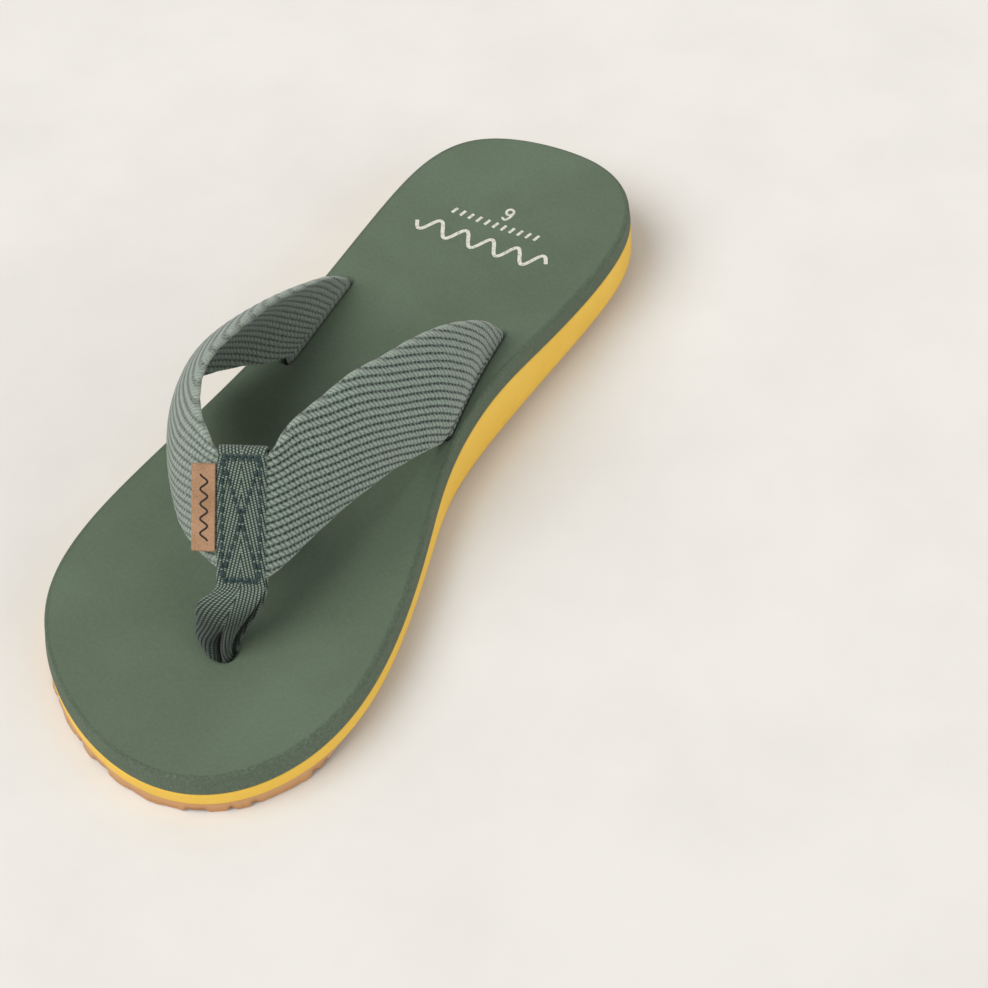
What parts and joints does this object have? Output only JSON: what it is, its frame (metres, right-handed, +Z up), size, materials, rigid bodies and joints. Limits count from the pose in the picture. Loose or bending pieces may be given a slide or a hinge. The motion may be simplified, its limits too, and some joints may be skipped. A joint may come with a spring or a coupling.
{
  "type": "flip flop",
  "caption": "Right-foot flip flop with a three-layer sole, wavy rubber tread, two webbing straps meeting in a V over a folded tape toe post, and a small side label.",
  "frame": {"origin": "middle of the footprint, on the plane that the tread stands on", "axes": "+Y to the toe, +X to the wearer's right (the outer side of this right foot), +Z up"},
  "size_m": [0.1056, 0.2666, 0.0628],
  "materials": {
    "footbed_foam": "matt, finely sueded EVA foam",
    "midsole_foam": "satin EVA foam",
    "outsole_rubber": "natural tan rubber",
    "strap_webbing": "coarse twill webbing",
    "toe_tape": "fine herringbone tape",
    "thread": "bonded sewing thread",
    "label_suede": "flat suede-like label",
    "anchor_plastic": "plain"
  },
  "bodies": {
    "sole": {"footbed": "footbed_foam", "midsole": "midsole_foam", "outsole": "outsole_rubber", "strap_medial": "strap_webbing", "strap_lateral": "strap_webbing", "toe_post": "toe_tape", "tape_stitching": "thread", "toe_anchor": "anchor_plastic"},
    "label": {"label": "label_suede"}
  },
  "joints": [
    {"name": "label_fold", "type": "hinge", "parent": "sole", "child": "label", "pos_m": [0.0006, 0.06702, 0.0484], "axis": [0.266, -0.6119, 0.7449], "range_deg": [0, 100]}
  ]
}
